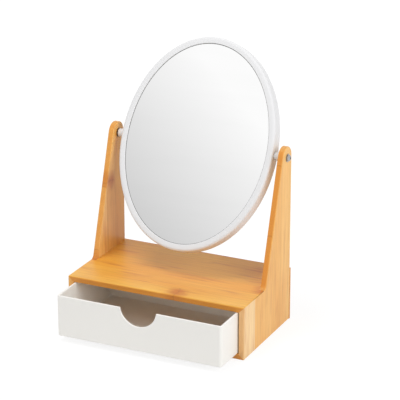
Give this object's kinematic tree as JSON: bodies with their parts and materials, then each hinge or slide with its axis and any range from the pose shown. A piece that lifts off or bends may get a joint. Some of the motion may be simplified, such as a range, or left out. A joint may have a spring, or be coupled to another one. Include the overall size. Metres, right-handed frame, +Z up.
{
  "type": "vanity mirror with drawer",
  "caption": "Vanity mirror: an oval glass in a white ring tilts between tapering bamboo posts that rise from a low cabinet with a sliding white drawer.",
  "frame": {"origin": "centre of the cabinet's underside, on the table", "axes": "+X to the right seen from the front, +Y to the back, +Z up"},
  "size_m": [0.2378, 0.2289, 0.3299],
  "materials": {
    "bamboo": "clear satin lacquer on edge-glued bamboo strips",
    "spline_wood": "bare",
    "drawer_plastic": "satin",
    "ring_plastic": "gloss",
    "mirror_glass": "silvered glass",
    "foam": "matt",
    "plated_steel": "bright plated",
    "brad_steel": "plain",
    "insert_brass": "turned",
    "friction_rubber": "matt"
  },
  "bodies": {
    "cabinet": {"left_side_panel": "bamboo", "right_side_panel": "bamboo", "shelf_panel": "bamboo", "bottom_panel": "bamboo", "back_panel": "bamboo", "back_panel_brads": "brad_steel", "shelf_splines": "spline_wood", "bottom_splines": "spline_wood", "outer_washer_left": "plated_steel", "outer_washer_right": "plated_steel", "friction_washer_left": "friction_rubber", "friction_washer_right": "friction_rubber"},
    "drawer": {"drawer_tray": "drawer_plastic"},
    "mirror": {"mirror_ring": "ring_plastic", "mirror_glass": "mirror_glass", "mirror_foam_pad": "foam", "mirror_back_cover": "ring_plastic", "pivot_insert_left": "insert_brass", "pivot_insert_right": "insert_brass", "pivot_screw_left": "plated_steel", "pivot_screw_right": "plated_steel", "spacer_left": "ring_plastic", "spacer_right": "ring_plastic"}
  },
  "joints": [
    {"name": "drawer_slide", "type": "slide", "parent": "cabinet", "child": "drawer", "axis": [0, -1, 0], "range_m": [-0.0435, 0.05]},
    {"name": "mirror_tilt", "type": "hinge", "parent": "cabinet", "child": "mirror", "pos_m": [0, 0.052, 0.2105], "axis": [1, 0, 0], "continuous": true}
  ]
}
